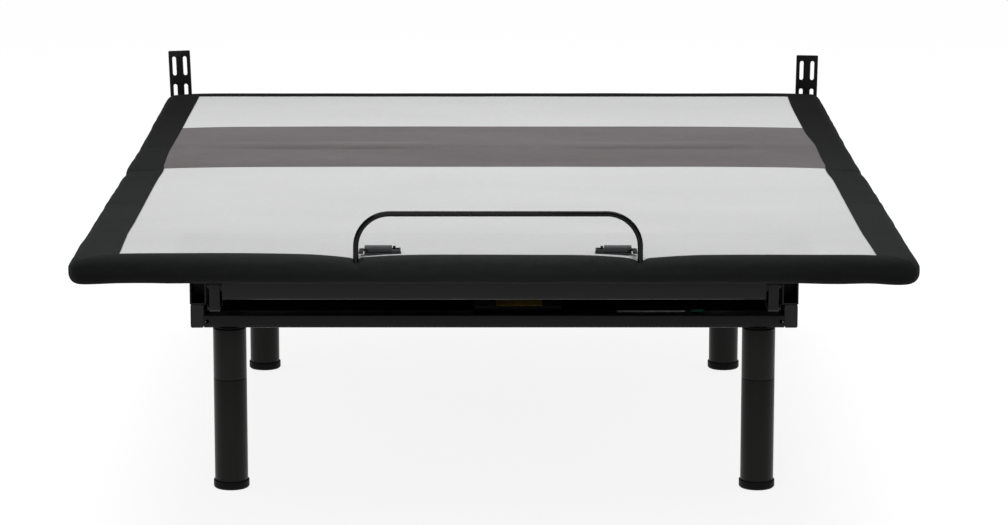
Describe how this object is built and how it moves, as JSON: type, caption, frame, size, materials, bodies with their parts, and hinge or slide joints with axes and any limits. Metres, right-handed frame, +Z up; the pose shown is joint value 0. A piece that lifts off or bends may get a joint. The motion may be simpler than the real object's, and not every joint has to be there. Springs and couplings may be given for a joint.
{
  "type": "adjustable bed base",
  "caption": "Motorised adjustable bed base: hinged padded deck on a black steel frame with four round legs, mattress retainer bar and slotted headboard plates.",
  "frame": {"origin": "on the floor under the middle of the footprint, which runs from the deck's front edge to the headboard plates", "axes": "+Z up, +Y towards the head end, +X to the right seen from the foot end"},
  "size_m": [1.524, 2.062, 0.6287],
  "materials": {
    "frame_coat": "satin black powder coat",
    "leg_tube": "satin black powder coat",
    "bar_coat": "semi-gloss black powder coat",
    "latch_metal": "satin dark grey",
    "zinc_steel": "zinc plated",
    "bright_rod": "drawn steel",
    "glide_plastic": "matt black",
    "cap_plastic": "matt black",
    "box_plastic": "fine-textured black",
    "motor_housing": "moulded black",
    "bumper_rubber": "matt black",
    "lead_rubber": "satin black",
    "plywood": "bare plywood",
    "cover_fabric": "light grey non-woven with black mesh border",
    "dust_cover_fabric": "black non-woven"
  },
  "bodies": {
    "base": {"side_rail_left": "frame_coat", "rail_cap_left": "cap_plastic", "front_upright_left": "frame_coat", "back_upright_left": "frame_coat", "deck_bumper_left": "bumper_rubber", "headboard_arm_left": "frame_coat", "headboard_plate_left": "frame_coat", "leg_upper_front_left": "leg_tube", "leg_lower_front_left": "leg_tube", "leg_glide_front_left": "glide_plastic", "leg_upper_back_left": "leg_tube", "leg_lower_back_left": "leg_tube", "leg_glide_back_left": "glide_plastic", "side_rail_right": "frame_coat", "rail_cap_right": "cap_plastic", "front_upright_right": "frame_coat", "back_upright_right": "frame_coat", "deck_bumper_right": "bumper_rubber", "headboard_arm_right": "frame_coat", "headboard_plate_right": "frame_coat", "leg_upper_front_right": "leg_tube", "leg_lower_front_right": "leg_tube", "leg_glide_front_right": "glide_plastic", "leg_upper_back_right": "leg_tube", "leg_lower_back_right": "leg_tube", "leg_glide_back_right": "glide_plastic", "front_cross_tube": "frame_coat", "back_cross_tube": "frame_coat", "front_motor_crossbar": "frame_coat", "back_motor_crossbar": "frame_coat", "dust_cover": "dust_cover_fabric", "seat_frame": "frame_coat", "seat_panel": "plywood", "seat_pad": "cover_fabric", "head_axle": "zinc_steel", "thigh_axle": "zinc_steel", "head_actuator": "motor_housing", "foot_actuator": "motor_housing", "control_box": "box_plastic", "head_motor_lead": "lead_rubber", "foot_motor_lead": "lead_rubber"},
    "head_section": {"head_frame": "frame_coat", "head_panel": "plywood", "head_pad": "cover_fabric"},
    "thigh_section": {"thigh_frame": "frame_coat", "thigh_panel": "plywood", "thigh_pad": "cover_fabric", "knee_axle": "zinc_steel"},
    "foot_section": {"foot_frame": "frame_coat", "foot_panel": "plywood", "foot_pad": "cover_fabric", "latch_plate_left": "latch_metal", "latch_plate_right": "latch_metal"},
    "foot_links": {"foot_link_left": "frame_coat", "foot_link_right": "frame_coat"},
    "head_rod": {"head_push_rod": "bright_rod"},
    "foot_rod": {"foot_push_rod": "bright_rod"},
    "retainer": {"retainer_bar": "bar_coat"},
    "bolt_left": {"latch_bolt_left": "latch_metal"},
    "bolt_right": {"latch_bolt_right": "latch_metal"}
  },
  "joints": [
    {"name": "head_lift", "type": "hinge", "parent": "base", "child": "head_section", "pos_m": [0, 0.195, 0.49], "axis": [1, 0, 0], "range_deg": [0, 60]},
    {"name": "thigh_lift", "type": "hinge", "parent": "base", "child": "thigh_section", "pos_m": [0, -0.075, 0.49], "axis": [-1, 0, 0], "range_deg": [0, 35]},
    {"name": "knee_fold", "type": "hinge", "parent": "thigh_section", "child": "foot_section", "pos_m": [0, -0.475, 0.49], "axis": [1, 0, 0], "range_deg": [0, 35]},
    {"name": "foot_link_swing", "type": "hinge", "parent": "base", "child": "foot_links", "pos_m": [0, -0.5575, 0.472], "axis": [-1, 0, 0], "range_deg": [0, 35]},
    {"name": "head_rod_slide", "type": "slide", "parent": "base", "child": "head_rod", "axis": [0, 1, 0], "range_m": [0, 0.11336]},
    {"name": "foot_rod_slide", "type": "slide", "parent": "base", "child": "foot_rod", "axis": [0, -1, 0], "range_m": [0, 0.0678]},
    {"name": "retainer_lift", "type": "slide", "parent": "foot_section", "child": "retainer", "axis": [0, 0, 1], "range_m": [0, 0.055]},
    {"name": "latch_left", "type": "slide", "parent": "foot_section", "child": "bolt_left", "axis": [1, 0, 0], "range_m": [0, 0.005]},
    {"name": "latch_right", "type": "slide", "parent": "foot_section", "child": "bolt_right", "axis": [-1, 0, 0], "range_m": [0, 0.005]}
  ],
  "couplings": [
    {"joint": "knee_fold", "follows": "thigh_lift", "ratio": 1},
    {"joint": "foot_link_swing", "follows": "thigh_lift", "ratio": 1},
    {"joint": "foot_rod_slide", "follows": "thigh_lift", "m_per_rad": 0.11066},
    {"joint": "head_rod_slide", "follows": "head_lift", "m_per_rad": 0.10806}
  ]
}
